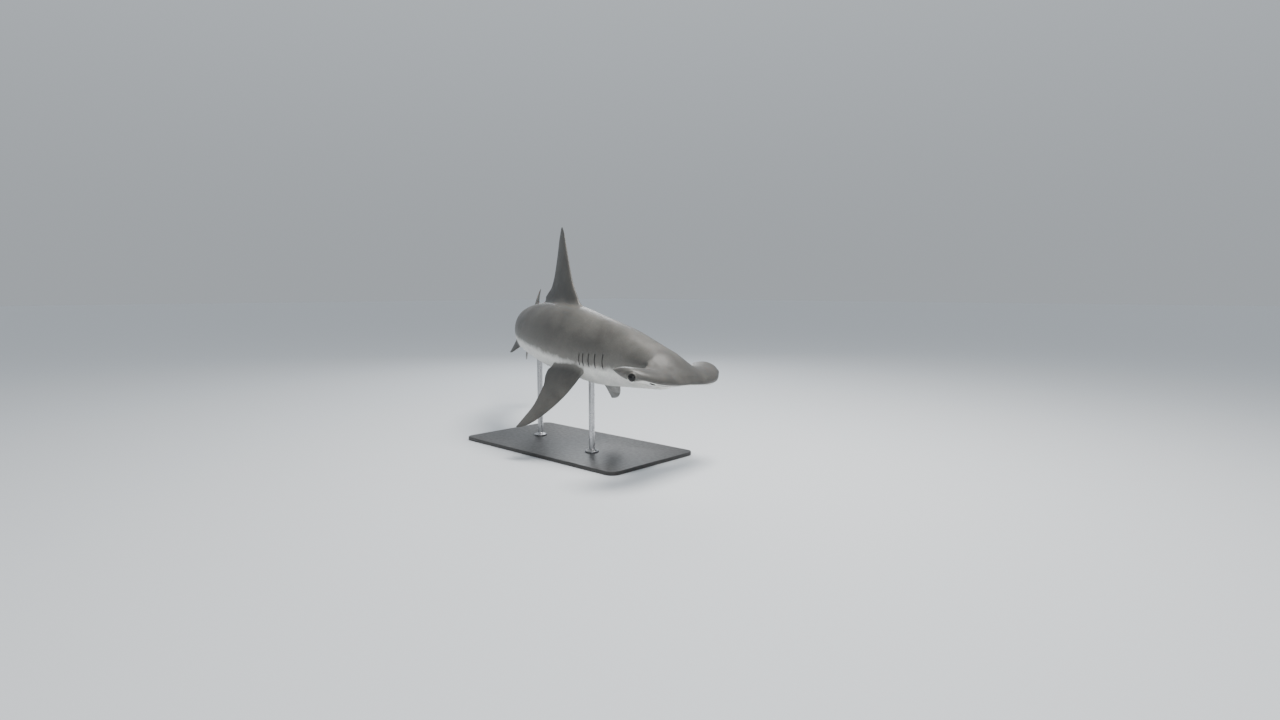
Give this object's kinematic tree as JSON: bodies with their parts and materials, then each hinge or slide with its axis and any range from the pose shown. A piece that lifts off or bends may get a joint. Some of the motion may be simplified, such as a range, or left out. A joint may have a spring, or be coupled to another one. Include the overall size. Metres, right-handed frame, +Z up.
{
  "type": "hammerhead shark",
  "caption": "Great hammerhead shark, full grown, swimming with its head low and its body curved to the left, on a flat stand with short rods.",
  "frame": {"origin": "centre of the underside of the stand's base", "axes": "+X towards the shark's head, +Y to the shark's left, +Z up"},
  "size_m": [2.6277, 1.8047, 1.4955],
  "materials": {
    "skin": "satin",
    "eye": "gloss",
    "stand_base": "satin",
    "stand_rod": "satin"
  },
  "bodies": {
    "root": {"lower_jaw": "skin", "head": "skin", "gill_section": "skin", "eye_right": "eye", "eye_left": "eye", "trunk_front": "skin", "trunk_rear": "skin", "tail_stem": "skin", "caudal_upper_lobe": "skin", "caudal_lower_lobe": "skin", "first_dorsal_fin": "skin", "second_dorsal_fin": "skin", "anal_fin": "skin", "pectoral_fin_right": "skin", "pectoral_fin_left": "skin", "pelvic_fin_right": "skin", "pelvic_fin_left": "skin", "stand_base": "stand_base", "stand_rod_front": "stand_rod", "stand_rod_rear": "stand_rod"}
  },
  "joints": []
}
